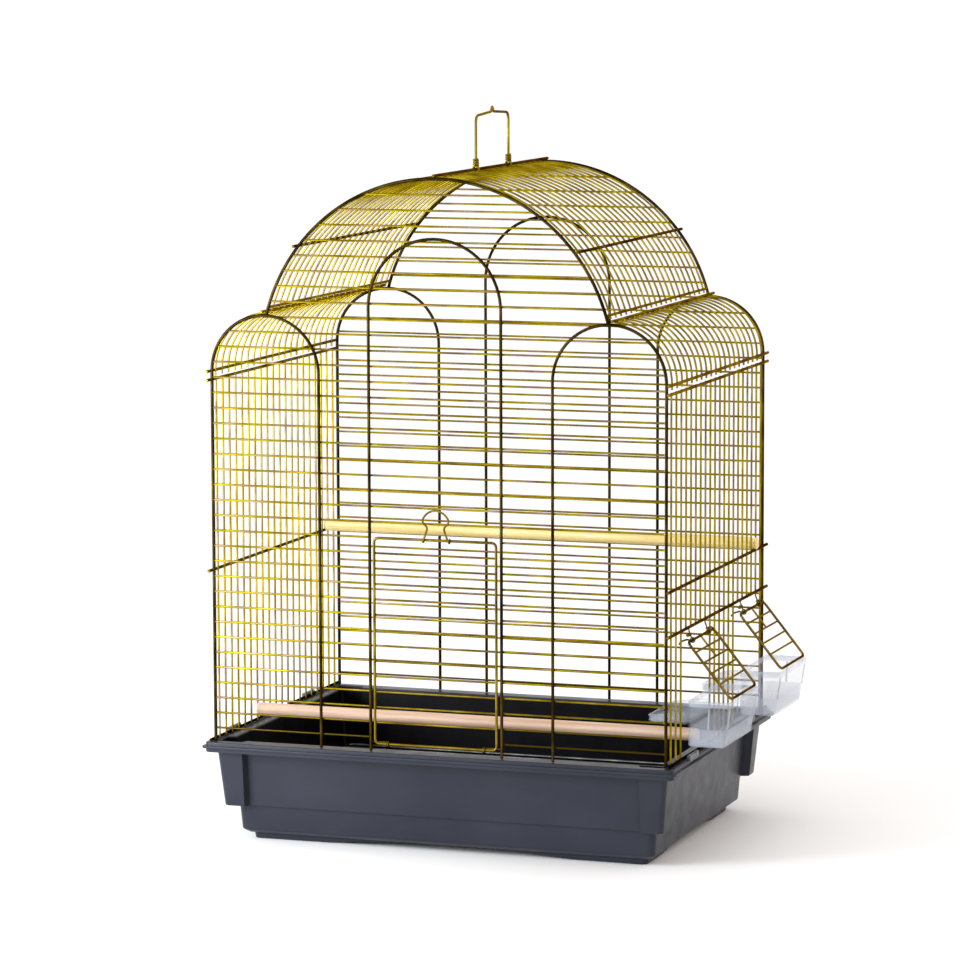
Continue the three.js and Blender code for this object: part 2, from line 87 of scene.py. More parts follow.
WELD = 0.15 * MM                # how far welded wires sink into each other
UPRIGHT_X = HALF_W + 1.0 * MM
RAIL_X = UPRIGHT_X + (THIN + BAR) / 2 - WELD
ARCH_Y = HALF_D + (THIN + BAR) / 2 - WELD

DOOR_X = 62 * MM
DOOR_TOP_ROW = 13
DOOR_HINGE_Z = 8 * MM
DOOR_Y = -sum(abs(corner.y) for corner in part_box("front_door")) / 2
LATCH_X = 2 * MM
LATCH_Y = sum(corner.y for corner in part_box("door_latch")) / 2

HATCH_YS = {
    spot: sum(corner.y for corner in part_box("feeder_hatch_" + spot)) / 2
    for spot in ("front", "rear")
}
HATCH_HALF_GAP = WIRE_PITCH * 2.5
HATCH_W = 88 * MM
HATCH_L = 68 * MM
HATCH_LEAN = math.radians(39)
HATCH_HINGE_X = 236.4 * MM
HATCH_HINGE_Z = 113.5 * MM
HATCH_DROPS = [12 * MM, 24.5 * MM, 37 * MM, 50 * MM]
HATCH_STEM_X = RAIL_X - 0.6 * MM
HATCH_LOOP_SHIFTS = (-29 * MM, 26 * MM)

RIDGE_Z = CROWN_Z + THICK / 2 + BAR / 2 + 0.3 * MM
HANDLE_HALF = 49 * MM
HANDLE_TOP_Z = 609 * MM
HANDLE_PEAK_Z = 616.5 * MM
COIL_R = 2.2 * MM               # of the coil round each foot of the handle
COIL_PITCH = 2.1 * MM
COIL_TURNS = 3
COIL_STEPS = 16                 # points in each turn
PERCH_R = 6.3 * MM
GRILLE_WIRES = 18

TRAY_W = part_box("tray_base")[1].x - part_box("tray_base")[0].x
TRAY_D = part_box("tray_base")[1].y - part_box("tray_base")[0].y


def place(x, y, z):
    """A point of the frame from its place in the cage: x from the middle, z above the rim."""
    return Vector((CENTRE_X + x, y, RIM_Z + z))


def row_z(row):
    return ROW_FIRST + ROW_PITCH * row


# ---- Mesh helpers ---------------------------------------------------------------------------
def arc(cx, cz, radius, start, end, steps):
    """Points (x, z) of an arc, angles in degrees."""
    angles = [math.radians(start + (end - start) * i / steps) for i in range(steps + 1)]
    return [(cx + radius * math.cos(a), cz + radius * math.sin(a)) for a in angles]


def bend(before, corner, after, radius, steps=5):
    """The points of a short smooth bend in place of a corner."""
    reach = min(radius, (before - corner).length * 0.48, (after - corner).length * 0.48)
    start = corner + (before - corner).normalized() * reach
    end = corner + (after - corner).normalized() * reach
    made = []
    for k in range(steps + 1):
        t = k / steps
        made.append(start * (1 - t) ** 2 + corner * (2 * t * (1 - t)) + end * t * t)
    return made


def rounded(points, radius, closed=False, steps=5):
    """The points with each corner replaced by a bend."""
    made = []
    count = len(points)
    for i, corner in enumerate(points):
        if not closed and i in (0, count - 1):
            made.append(corner)
            continue
        made += bend(points[i - 1], corner, points[(i + 1) % count], radius, steps)
    return made


def add_ring(mesh, centre, side, up, radius, sides):
    ring = []
    for k in range(sides):
        angle = 2 * math.pi * k / sides
        ring.append(mesh.verts.new(centre + (side * math.cos(angle) + up * math.sin(angle)) * radius))
    return ring


def bridge(mesh, rings, closed=False):
    """Quads between each ring of vertices and the next."""
    pairs = list(zip(rings, rings[1:]))
    if closed:
        pairs.append((rings[-1], rings[0]))
    for low, high in pairs:
        count = len(low)
        for k in range(count):
            mesh.faces.new((low[k], low[(k + 1) % count], high[(k + 1) % count], high[k]))


def wire(mesh, points, size, sides=10, closed=False):
    """A round wire of thickness size along a line of points, with slightly rounded ends."""
    points = [Vector(p) for p in points]
    count = len(points)
    tangents = []
    for i in range(count):
        before = points[i - 1] if i > 0 or closed else points[i]
        after = points[(i + 1) % count] if i < count - 1 or closed else points[i]
        tangents.append((after - before).normalized())
    seed = Vector((0, 0, 1)) if abs(tangents[0].z) < 0.9 else Vector((0, 1, 0))
    side = tangents[0].cross(seed).normalized()
    radius = size / 2
    rings = []
    for i, (point, tangent) in enumerate(zip(points, tangents)):
        side = (side - tangent * side.dot(tangent)).normalized()
        up = tangent.cross(side)
        if i == 0 and not closed:
            rings.append(add_ring(mesh, point, side, up, radius * 0.6, sides))
            point = point + tangent * radius * 0.35
        if i == count - 1 and not closed:
            end_point = point
            point = point - tangent * radius * 0.35
        rings.append(add_ring(mesh, point, side, up, radius, sides))
        if i == count - 1 and not closed:
            rings.append(add_ring(mesh, end_point, side, up, radius * 0.6, sides))
    bridge(mesh, rings, closed)
    if not closed:
        mesh.faces.new(list(reversed(rings[0])))
        mesh.faces.new(rings[-1])


def bead(mesh, centre, radius):
    """A small weld bead."""
    made = bmesh.ops.create_icosphere(mesh, subdivisions=1, radius=radius)
    bmesh.ops.translate(mesh, verts=made["verts"], vec=centre)


def piece(name, mesh, material, body, replaced=(), sharp=35):
    """Makes an object of the mesh, on its CAD body and standing for its CAD nodes."""
    bmesh.ops.recalc_face_normals(mesh, faces=mesh.faces[:])
    data = bpy.data.meshes.new(name)
    mesh.to_mesh(data)
    mesh.free()
    data.materials.append(material)
    data.shade_smooth()
    data.set_sharp_from_angle(angle=math.radians(sharp))
    made = bpy.data.objects.new(name, data)
    bpy.context.scene.collection.objects.link(made)
    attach(made, body)
    if replaced:
        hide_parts(*replaced)


# ---- Materials ------------------------------------------------------------------------------
class Nodes:
    """A short way to write a node material."""

    def __init__(self, name):
        self.material = bpy.data.materials.new(name)
        self.material.use_nodes = True
        self.tree = self.material.node_tree
        self.shader = self.tree.nodes["Principled BSDF"]
        self.coords = self.tree.nodes.new("ShaderNodeTexCoord")

    def link(self, output, target):
        self.tree.links.new(output, target)

    def noise(self, scale, detail=3.0, stretch=(1, 1, 1), roughness=0.5):
        mapping = self.tree.nodes.new("ShaderNodeMapping")
        mapping.inputs["Scale"].default_value = stretch
        self.link(self.coords.outputs["Object"], mapping.inputs["Vector"])
        made = self.tree.nodes.new("ShaderNodeTexNoise")
        made.inputs["Scale"].default_value = scale
        made.inputs["Detail"].default_value = detail
        made.inputs["Roughness"].default_value = roughness
        self.link(mapping.outputs["Vector"], made.inputs["Vector"])
        return made.outputs["Fac"]

    def ramp(self, factor, stops):
        made = self.tree.nodes.new("ShaderNodeValToRGB")
        elements = made.color_ramp.elements
        while len(elements) < len(stops):
            elements.new(0.5)
        for element, (position, colour) in zip(elements, stops):
            element.position = position
            element.color = (*colour, 1)
        self.link(factor, made.inputs["Fac"])
        return made.outputs["Color"]

    def spread(self, factor, low, high, start=0.3, end=0.7):
        made = self.tree.nodes.new("ShaderNodeMapRange")
        made.inputs["From Min"].default_value = start
        made.inputs["From Max"].default_value = end
        made.inputs["To Min"].default_value = low
        made.inputs["To Max"].default_value = high
        self.link(factor, made.inputs["Value"])
        return made.outputs["Result"]

    def height(self):
        made = self.tree.nodes.new("ShaderNodeSeparateXYZ")
        self.link(self.coords.outputs["Object"], made.inputs["Vector"])
        return made.outputs["Z"]

    def value(self, name):
        made = self.tree.nodes.new("ShaderNodeAttribute")
        made.attribute_name = name
        return made.outputs["Fac"]

    def mix(self, factor, first, second):
        made = self.tree.nodes.new("ShaderNodeMix")
        made.data_type = "RGBA"
        self.link(factor, made.inputs["Factor"])
        self.link(first, made.inputs[6])
        made.inputs[7].default_value = (*second, 1)
        return made.outputs[2]

    def bump(self, factor, distance, strength=1.0, under=None):
        made = self.tree.nodes.new("ShaderNodeBump")
        made.inputs["Distance"].default_value = distance
        made.inputs["Strength"].default_value = strength
        self.link(factor, made.inputs["Height"])
        if under is not None:
            self.link(under, made.inputs["Normal"])
        return made.outputs["Normal"]


# Painted shade: the panels' wires are darkened next to the tray, up to these heights.
PAINTED_SHADE_FROM = 15 * MM              # above the rim, the panels' wires change from their low colour
PAINTED_SHADE_TO = 75 * MM                # to brass between these heights


def metal(name, dark, middle, light, edge, rough_low, rough_high, low=None):
    """Plated wire: tarnish in soft patches, with fine drawing marks; edge tints its rim of light.

    Where low is given, the wire has that darker colour next to the tray, as painted shade.
    """
    n = Nodes(name)
    colour = n.ramp(n.noise(38, 4.0), [(0.3, dark), (0.5, middle), (0.72, light)])
    # Painted shade: the low colour darkens the wire towards the tray.
    if low is not None:
        colour = n.mix(n.spread(n.height(), 1, 0, RIM_Z + PAINTED_SHADE_FROM, RIM_Z + PAINTED_SHADE_TO), colour, low)
    n.link(colour, n.shader.inputs["Base Color"])
    n.link(n.spread(n.noise(160, 3.0), rough_low, rough_high), n.shader.inputs["Roughness"])
    marks = n.bump(n.noise(2600, 2.0), 0.00004, 0.5)
    n.link(n.bump(n.noise(420, 2.0), 0.00012, 0.5, marks), n.shader.inputs["Normal"])
    n.shader.inputs["Metallic"].default_value = 1.0
    n.shader.inputs["Specular Tint"].default_value = (*edge, 1)
    return n.material


INSIDE = "inside"               # a mesh value, 1 on the tray's inner surfaces, which get painted shade
# The inner surfaces get less shine than the outer ones, as part of their painted shade.
OUTER_SHINE = 0.2
INNER_SHINE = 0.08


def moulded(name, dark, light, rough_low, rough_high, grain, grain_depth, inside=None):
    """Moulded plastic: a fine grain, faint streaks and rub marks; the inside may get painted shade, a
    darker colour and less shine.
    """
    n = Nodes(name)
    colour = n.ramp(n.noise(9, 4.0, stretch=(1, 1, 1.6)), [(0.32, dark), (0.7, light)])
    # Painted shade: the inner surfaces get the inside colour and the lower shine.
    if inside is not None:
        colour = n.mix(n.value(INSIDE), colour, inside)
        shine = n.spread(n.value(INSIDE), OUTER_SHINE, INNER_SHINE, 0, 1)
        n.link(shine, n.shader.inputs["Specular IOR Level"])
    n.link(colour, n.shader.inputs["Base Color"])
    n.link(n.spread(n.noise(55, 5.0), rough_low, rough_high), n.shader.inputs["Roughness"])
    fine = n.bump(n.noise(grain, 3.0), grain_depth, 0.6)
    n.link(n.bump(n.noise(8, 2.0), 0.0003, 0.25, fine), n.shader.inputs["Normal"])
    return n.material


def wood(name, dark, middle, light):
    """Turned dowel: grain that runs along X, with fine pores."""
    n = Nodes(name)
    grain = n.noise(150, 5.0, stretch=(0.035, 1, 1), roughness=0.65)
    n.link(n.ramp(grain, [(0.28, dark), (0.5, middle), (0.68, light)]), n.shader.inputs["Base Color"])
    n.link(n.spread(grain, 0.62, 0.48), n.shader.inputs["Roughness"])
    pores = n.noise(900, 3.0, stretch=(0.06, 1, 1))
    n.link(n.bump(pores, 0.00012, 0.6), n.shader.inputs["Normal"])
    return n.material


THICKNESS = "thickness"         # a mesh value, 1 where the clear plastic is thick
THIN_ALPHA = 0.08
THICK_ALPHA = 0.42


def clear_plastic():
    """Clear styrene, slightly blue and milky where it is thick, with faint flow marks."""
    n = Nodes("clear_plastic")
    flow = n.noise(30, 3.0, stretch=(1, 1, 0.4))
    tones = [(0.3, (0.36, 0.40, 0.48)), (0.7, (0.54, 0.59, 0.68))]
    n.link(n.ramp(flow, tones), n.shader.inputs["Base Color"])
    n.link(n.spread(n.noise(90, 3.0), 0.06, 0.16), n.shader.inputs["Roughness"])
    n.link(n.bump(flow, 0.0004, 0.3), n.shader.inputs["Normal"])
    n.link(n.spread(n.value(THICKNESS), THIN_ALPHA, THICK_ALPHA, 0, 1), n.shader.inputs["Alpha"])
    n.shader.inputs["IOR"].default_value = 1.5
    return n.material


BRASS_LOOK = {
    "dark": (0.13, 0.084, 0.002),
    "middle": (0.25, 0.175, 0.005),
    "light": (0.40, 0.30, 0.02),
    "edge": (0.40, 0.285, 0.01),
    "rough_low": 0.28,
    "rough_high": 0.44,
}
BRASS = metal("brass", **BRASS_LOOK)
# Panel brass: the same brass, with painted shade on the wires next to the tray.
PANEL_BRASS_PAINTED_SHADE = metal("panel_brass_painted_shade", **BRASS_LOOK, low=(0.05, 0.034, 0.004))
RAIL = metal(
    "rail_brass",
    dark=(0.07, 0.042, 0.003),
    middle=(0.15, 0.10, 0.008),
    light=(0.27, 0.19, 0.02),
    edge=(0.26, 0.18, 0.02),
    rough_low=0.28,
    rough_high=0.46,
)
OUTLINE = metal(
    "outline_brass",
    dark=(0.010, 0.006, 0.001),
    middle=(0.028, 0.017, 0.003),
    light=(0.075, 0.05, 0.009),
    edge=(0.1, 0.07, 0.015),
    rough_low=0.3,
    rough_high=0.5,
)
STEEL = metal(
    "steel",
    dark=(0.05, 0.05, 0.05),
    middle=(0.11, 0.11, 0.11),
    light=(0.24, 0.24, 0.25),
    edge=(0.4, 0.4, 0.4),
    rough_low=0.28,
    rough_high=0.46,
)
TRAY = moulded(
    "tray_plastic",
    dark=(0.016, 0.018, 0.0275),
    light=(0.0245, 0.0275, 0.039),
    rough_low=0.28,
    rough_high=0.40,
    grain=1700,
    grain_depth=0.00005,
    # painted shade on the tray's inner surfaces
    inside=(0.002, 0.002, 0.003),
)
CLIP = moulded(
    "clip_plastic",
    dark=(0.05, 0.052, 0.058),
    light=(0.10, 0.105, 0.115),
    rough_low=0.22,
    rough_high=0.34,
    grain=1500,
    grain_depth=0.00005,
)
PINE = wood("pine", (0.55, 0.39, 0.115), (0.73, 0.57, 0.22), (0.83, 0.69, 0.36))
BEECH = wood("beech", (0.43, 0.26, 0.165), (0.62, 0.42, 0.30), (0.73, 0.55, 0.43))
CLEAR = clear_plastic()


# ---- Wire panels ----------------------------------------------------------------------------
def half_width_at(z):
    """Half the width inside the outline at a height above the rim."""
    if z <= SPRING_Z:
        return HALF_W
    if z < VALLEY_Z:
        return SHOULDER_X + math.sqrt(SHOULDER_R ** 2 - (z - SPRING_Z) ** 2)
    return math.sqrt(max(ARCH_R ** 2 - (z - ARCH_Z) ** 2, 0))


def in_plane(points, y):
    return [place(x, y, z) for x, z in points]


def flipped(points):
    return [(-x, z) for x, z in points]


def outline_wires(mesh, y):
    """The two legs with their shoulders, and the main arch, all of thick wire."""
    leg = [(HALF_W, LEG_FOOT_Z), (HALF_W, SPRING_Z * 0.5)]
    leg += arc(SHOULDER_X, SPRING_Z, SHOULDER_R, 0, 91, 16)
    arch = arc(0, ARCH_Z, ARCH_R, VALLEY_ANGLE - 0.5, 180.5 - VALLEY_ANGLE, 56)
    for points in (leg, flipped(leg), arch):
        wire(mesh, in_plane(points, y), THICK, sides=12)
    for side in (-1, 1):
        bead(mesh, place(side * (SHOULDER_X - 1 * MM), y, VALLEY_Z), THICK * 0.62)


def panel(name, y, door_rows):
    """The front or back panel: its dark outline, and its horizontal wires, which carry painted shade next
    to the tray.
    """
    mesh = bmesh.new()
    outline_wires(mesh, y)
    piece(name + "_outline", mesh, OUTLINE, "cage")
    mesh = bmesh.new()
    for row in range(ROWS):
        z = row_z(row)
        if z > CROWN_Z - THICK:
            continue
        reach = half_width_at(z)
        if row < door_rows:
            inner = CENTRE_ARCH_X - 0.6 * MM
            wire(mesh, [place(-reach, y, z), place(-inner, y, z)], THIN)
            wire(mesh, [place(inner, y, z), place(reach, y, z)], THIN)
        else:
            wire(mesh, [place(-reach, y, z), place(reach, y, z)], THIN)
        for side in (-1, 1):
            bead(mesh, place(side * (reach - THICK * 0.45), y, z), BEAD_R)
    piece(name, mesh, PANEL_BRASS_PAINTED_SHADE, "cage", [name])


def arches():
    """Three stiffener arches in front of each panel's horizontal wires, with weld beads."""
    side_arch = arc(SHOULDER_X, SPRING_Z, SHOULDER_R, 88, 180, 16)
    side_arch += [(HALF_W - 2 * SHOULDER_R, LEG_FOOT_Z)]
    centre = [(CENTRE_ARCH_X, LEG_FOOT_Z)]
    centre += arc(0, CENTRE_SPRING_Z, CENTRE_ARCH_X, 0, 180, 36)
    centre += [(-CENTRE_ARCH_X, LEG_FOOT_Z)]
    shapes = {"centre": centre, "right": side_arch, "left": flipped(side_arch)}
    leg_x = side_arch[-1][0]
    legs = {"centre": (-CENTRE_ARCH_X, CENTRE_ARCH_X), "right": (leg_x,), "left": (-leg_x,)}
    for wall, sign in (("front", -1), ("back", 1)):
        for spot, points in shapes.items():
            mesh = bmesh.new()
            wire(mesh, in_plane(points, sign * ARCH_Y), BAR, sides=12)
            for x in legs[spot]:
                top = CENTRE_SPRING_Z if spot == "centre" else SPRING_Z
                for row in range(int((top - ROW_FIRST) / ROW_PITCH) + 1):
                    bead(mesh, place(x, sign * (HALF_D + THIN * 0.45), row_z(row)), BEAD_R)
            name = f"{wall}_arch_{spot}"
            piece(name, mesh, OUTLINE, "cage", [name])


def rail(mesh, x, z, reach, size=BAR):
    wire(mesh, [place(x, -reach, z), place(x, reach, z)], size, sides=12)


def side_panel(side_name, side, hatch_ys):
    """Upright wires, welded to a top and a bottom rail."""
    mesh = bmesh.new()
    reach = HALF_D + RAIL_OVERHANG
    rail(mesh, side * RAIL_X, SIDE_RAIL_Z, reach)
    for y in WIRE_YS:
        over_hatch = any(abs(y - centre) < HATCH_HALF_GAP for centre in hatch_ys)
        low = HATCH_RAIL_Z - 1.2 * MM if over_hatch else 0.8 * MM
        x = side * UPRIGHT_X
        wire(mesh, [place(x, y, low), place(x, y, SIDE_RAIL_Z + 1 * MM)], THIN)
        for z in (SIDE_RAIL_Z, MID_RAIL_Z):
            bead(mesh, place(side * (UPRIGHT_X + THIN * 0.5), y, z), UPRIGHT_BEAD_R)
    name = "side_panel_" + side_name
    piece(name, mesh, BRASS, "cage", [name])
    mesh = bmesh.new()
    rail(mesh, side * RAIL_X, BOTTOM_RAIL_Z, reach)
    piece("bottom_rail_" + side_name, mesh, OUTLINE, "cage")


def cross_rail(name, side, z):
    mesh = bmesh.new()
    rail(mesh, side * RAIL_X, z, HALF_D + RAIL_OVERHANG)
    piece(name, mesh, RAIL, "cage", [name])


def shoulder(side_name, side):
    """Bent wires that hook over a lower rail and over the rail in the valley."""
    mesh = bmesh.new()
    radius = SHOULDER_R + THICK / 2
    rail_radius = radius + (THIN + BAR) / 2 - WELD - 0.5 * MM
    rail(mesh, side * (SHOULDER_X + rail_radius), SPRING_Z, HALF_D + RAIL_OVERHANG)
    last = math.radians(87)
    valley_x = SHOULDER_X + rail_radius * math.cos(last)
    valley_z = SPRING_Z + rail_radius * math.sin(last)
    rail(mesh, side * valley_x, valley_z, HALF_D + RAIL_OVERHANG / 2)
    bent = [(SHOULDER_X + radius, SPRING_Z - 5 * MM)]
    bent += arc(SHOULDER_X, SPRING_Z, radius, 0, 89, 16)
    for y in WIRE_YS:
        wire(mesh, [place(side * x, y, z) for x, z in bent], THIN)
    nodes = [f"shoulder_{side_name}_lower", f"shoulder_{side_name}_upper"]
    piece("shoulder_" + side_name, mesh, BRASS, "cage", nodes)


def roof():
    """The main roof: bent wires between two low rails."""
    mesh = bmesh.new()
    start = 17
    reach = HALF_D - THICK / 2
    for side in (-1, 1):
        x = side * ARCH_R * math.cos(math.radians(start))
        rail(mesh, x, ARCH_Z + ARCH_R * math.sin(math.radians(start)), reach, FRAME)
    for y in WIRE_YS:
        wire(mesh, in_plane(arc(0, ARCH_Z, ARCH_R, start - 1.2, 181.2 - start, 56), y), THIN)
    sections = ["right_lower", "right_upper", "top", "left_upper", "left_lower"]
    piece("roof_panel", mesh, BRASS, "cage", ["roof_" + s for s in sections])


def roof_bars():
    radius = ARCH_R + (THICK + BAR) / 2 - WELD
    angles = {"ridge_bar": 0, "roof_bar_right": ROOF_BAR_ANGLE, "roof_bar_left": -ROOF_BAR_ANGLE}
    for name, angle in angles.items():
        x = radius * math.sin(math.radians(angle))
        z = ARCH_Z + radius * math.cos(math.radians(angle))
        mesh = bmesh.new()
        rail(mesh, x, z, HALF_D + RAIL_OVERHANG - 2 * MM)
        piece(name, mesh, RAIL, "cage", [name])


# ---- Door, latch, hatches and handle --------------------------------------------------------
def front_door():
    mesh = bmesh.new()
    top = row_z(DOOR_TOP_ROW)
    corners = [
        place(-DOOR_X, DOOR_Y, DOOR_HINGE_Z),
        place(DOOR_X, DOOR_Y, DOOR_HINGE_Z),
        place(DOOR_X, DOOR_Y, top),
        place(-DOOR_X, DOOR_Y, top),
    ]
    wire(mesh, rounded(corners, 5 * MM, closed=True), FRAME, sides=12, closed=True)
    y = DOOR_Y + (FRAME + THIN) / 2 - 1.1 * MM
    for row in range(1, DOOR_TOP_ROW):
        wire(mesh, [place(-DOOR_X, y, row_z(row)), place(DOOR_X, y, row_z(row))], THIN)
        for side in (-1, 1):
            bead(mesh, place(side * (DOOR_X - 1 * MM), y, row_z(row)), BEAD_R)
    piece("front_door", mesh, RAIL, "front_door", ["front_door"])


def door_loops():
    """Small loops on the arch legs that the door's bottom wire turns in."""
    mesh = bmesh.new()
    for side in (-1, 1):
        for shift in (0, 1.5 * MM):
            x = side * (DOOR_X - 12 * MM - shift)
            ring = [place(x, DOOR_Y + p, DOOR_HINGE_Z + q) for p, q in arc(0, 0, LOOP_R, 0, 345, 16)]
            wire(mesh, ring, LOOP_WIRE, sides=8, closed=True)
        stem_x = side * (DOOR_X - 12.7 * MM)
        stem_z = DOOR_HINGE_Z + 1 * MM
        stem = [
            place(stem_x, DOOR_Y + LOOP_R, DOOR_HINGE_Z),
            place(stem_x, -HALF_D, stem_z),
            place(side * CENTRE_ARCH_X, -HALF_D, stem_z),
        ]
        wire(mesh, rounded(stem, 2 * MM), LOOP_WIRE, sides=8)
    piece("door_loops", mesh, RAIL, "cage")


def door_latch():
    """A squeeze latch bent from one wire, with splayed feet curled round the door's top wire."""
    mesh = bmesh.new()
    foot = row_z(DOOR_TOP_ROW)
    foot_x = 13.2
    half = [
        (foot_x, -1.0),
        (10.4, 5.0),
        (8.6, 11.0),
        (9.2, 13.6),
        (13.0, 17.0),
        (13.2, 20.5),
        (9.6, 25.5),
        (4.5, 28.4),
        (0, 29.3),
    ]
    right = [place(LATCH_X + x * MM, LATCH_Y, foot + z * MM) for x, z in half]
    left = [place(LATCH_X - x * MM, LATCH_Y, foot + z * MM) for x, z in half[:-1]]
    wire(mesh, rounded(right + left[::-1], 3 * MM), THIN)
    for side in (-1, 1):
        x = LATCH_X + side * foot_x * MM
        curl_y = LATCH_Y + 1.9 * MM
        curl = [place(x, curl_y + q, foot + p) for q, p in arc(0, 0, 2.1 * MM, 180, 420, 12)]
        wire(mesh, curl, 1.6 * MM, sides=8)
    piece("door_latch", mesh, RAIL, "door_latch", ["door_latch"])


def hatch_point(y, drop, lift=0.0):
    """A point of a leaning hatch: down from its hinge wire, and lifted off its plane."""
    along = Vector((math.sin(HATCH_LEAN), 0, -math.cos(HATCH_LEAN)))
    outward = Vector((math.cos(HATCH_LEAN), 0, math.sin(HATCH_LEAN)))
    return place(HATCH_HINGE_X, y, HATCH_HINGE_Z) + along * drop + outward * lift


def feeder_hatch(spot, centre):
    """A leaning wire flap: its frame, and its lighter cross wires."""
    mesh = bmesh.new()
    half = HATCH_W / 2
    near, far = centre - half, centre + half
    ends = ((near, HATCH_L), (far, HATCH_L), (far, 0), (near, 0))
    corners = [hatch_point(y, drop) for y, drop in ends]
    wire(mesh, rounded(corners, 6 * MM, closed=True), FRAME, sides=12, closed=True)
    name = "feeder_hatch_" + spot
    piece(name, mesh, RAIL, name, [name])
    mesh = bmesh.new()
    lift = 0.2 * MM
    for drop in HATCH_DROPS:
        wire(mesh, [hatch_point(near, drop, lift), hatch_point(far, drop, lift)], THIN)
    wire(mesh, [hatch_point(centre, 0, -lift), hatch_point(centre, HATCH_DROPS[1], -lift)], THIN)
    piece(name + "_wires", mesh, BRASS, name)


def hatch_stem(mesh, y):
    """Two turns of thin wire round a hatch's top wire, hung from the hatch rail."""
    for turn in (0, 1.5 * MM):
        circle = arc(0, 0, LOOP_R, 90, 435, 16)
        ring = [place(HATCH_HINGE_X + p, y + turn, HATCH_HINGE_Z + q) for p, q in circle]
        wire(mesh, ring, LOOP_WIRE, sides=8, closed=True)
    middle = y + 0.7 * MM
    stem = [
        place(HATCH_HINGE_X - 1.0 * MM, middle, HATCH_HINGE_Z + 1.9 * MM),
        place(HATCH_STEM_X - 0.2 * MM, middle, HATCH_RAIL_Z - 3 * MM),
        place(HATCH_STEM_X, middle, HATCH_RAIL_Z),
    ]
    wire(mesh, rounded(stem, 3 * MM), 1.5 * MM, sides=8)


def hatch_hook(mesh, centre, side):
    """The hook from one end of a hatch's top wire to the upright beside the opening."""
    y = centre + side * (HATCH_W / 2 - 4 * MM)
    upright_y = centre + side * HATCH_HALF_GAP
    hook = [
        place(HATCH_HINGE_X + 1.6 * MM, y, HATCH_HINGE_Z + 0.6 * MM),
        place(HATCH_HINGE_X - 1.2 * MM, y, HATCH_HINGE_Z + 2.4 * MM),
        place(UPRIGHT_X - 1.6 * MM, upright_y, HATCH_HINGE_Z + 0.5 * MM),
        place(UPRIGHT_X - 1.4 * MM, upright_y + side * 9 * MM, HATCH_HINGE_Z - 1 * MM),
    ]
    wire(mesh, rounded(hook, 2.5 * MM), 1.8 * MM, sides=8)


def hatch_loops():
    """Each hatch's loops, the sleeve on one of them, and its end hooks."""
    mesh = bmesh.new()
    for centre in HATCH_YS.values():
        for shift in HATCH_LOOP_SHIFTS:
            hatch_stem(mesh, centre + shift)
        sleeve_y = centre - 28.5 * MM
        sleeve_z = HATCH_HINGE_Z + 5 * MM
        ends = (sleeve_y - 4.5 * MM, sleeve_y + 4.5 * MM)
        wire(mesh, [place(HATCH_STEM_X, y, sleeve_z) for y in ends], 3.4 * MM, sides=12)
        for side in (-1, 1):
            hatch_hook(mesh, centre, side)
    piece("hatch_loops", mesh, RAIL, "cage")


def handle():
    """A bent wire whose feet are coiled and looped round the ridge bar."""
    mesh = bmesh.new()
    side = [
        (HANDLE_HALF, RIDGE_Z + 3.4 * MM),
        (HANDLE_HALF, HANDLE_TOP_Z),
        (6.5 * MM, HANDLE_TOP_Z + 0.6 * MM),
        (2.6 * MM, HANDLE_TOP_Z + 3.2 * MM),
    ]
    points = side + [(0, HANDLE_PEAK_Z)] + [(-y, z) for y, z in reversed(side)]
    corners = [place(0, y, z) for y, z in points]
    path = [corners[0]]
    for i, radius in ((1, 8 * MM), (3, 2 * MM), (4, 2 * MM), (5, 2 * MM), (7, 8 * MM)):
        path += bend(corners[i - 1], corners[i], corners[i + 1], radius)
    path.append(corners[-1])
    wire(mesh, path, FRAME, sides=12)
    for sign in (-1, 1):
        for turn in (-1.2 * MM, 1.2 * MM):
            y = sign * HANDLE_HALF + turn
            ring = [place(p, y, RIDGE_Z + q) for p, q in arc(0, 0, 2.6 * MM, 0, 342, 18)]
            wire(mesh, ring, THIN, closed=True)
        coil = []
        for k in range(COIL_TURNS * COIL_STEPS + 1):
            angle = 2 * math.pi * k / COIL_STEPS
            x, y = COIL_R * math.cos(angle), sign * HANDLE_HALF + COIL_R * math.sin(angle)
            coil.append(place(x, y, RIDGE_Z + 3.2 * MM + COIL_PITCH * k / COIL_STEPS))
        wire(mesh, coil, THIN, sides=8)
    piece("handle", mesh, BRASS, "handle", ["handle"])


# ---- Perches and grille ---------------------------------------------------------------------
def turned(mesh, y, z, profile, sides=28):
    """A shape turned about a line along X, from (x, radius) pairs."""
    rings = []
    side, up = Vector((0, 1, 0)), Vector((0, 0, 1))
    for x, radius in profile:
        rings.append(add_ring(mesh, place(x, y, z), side, up, radius, sides))
    bridge(mesh, rings)
    mesh.faces.new(list(reversed(rings[0])))
    mesh.faces.new(rings[-1])


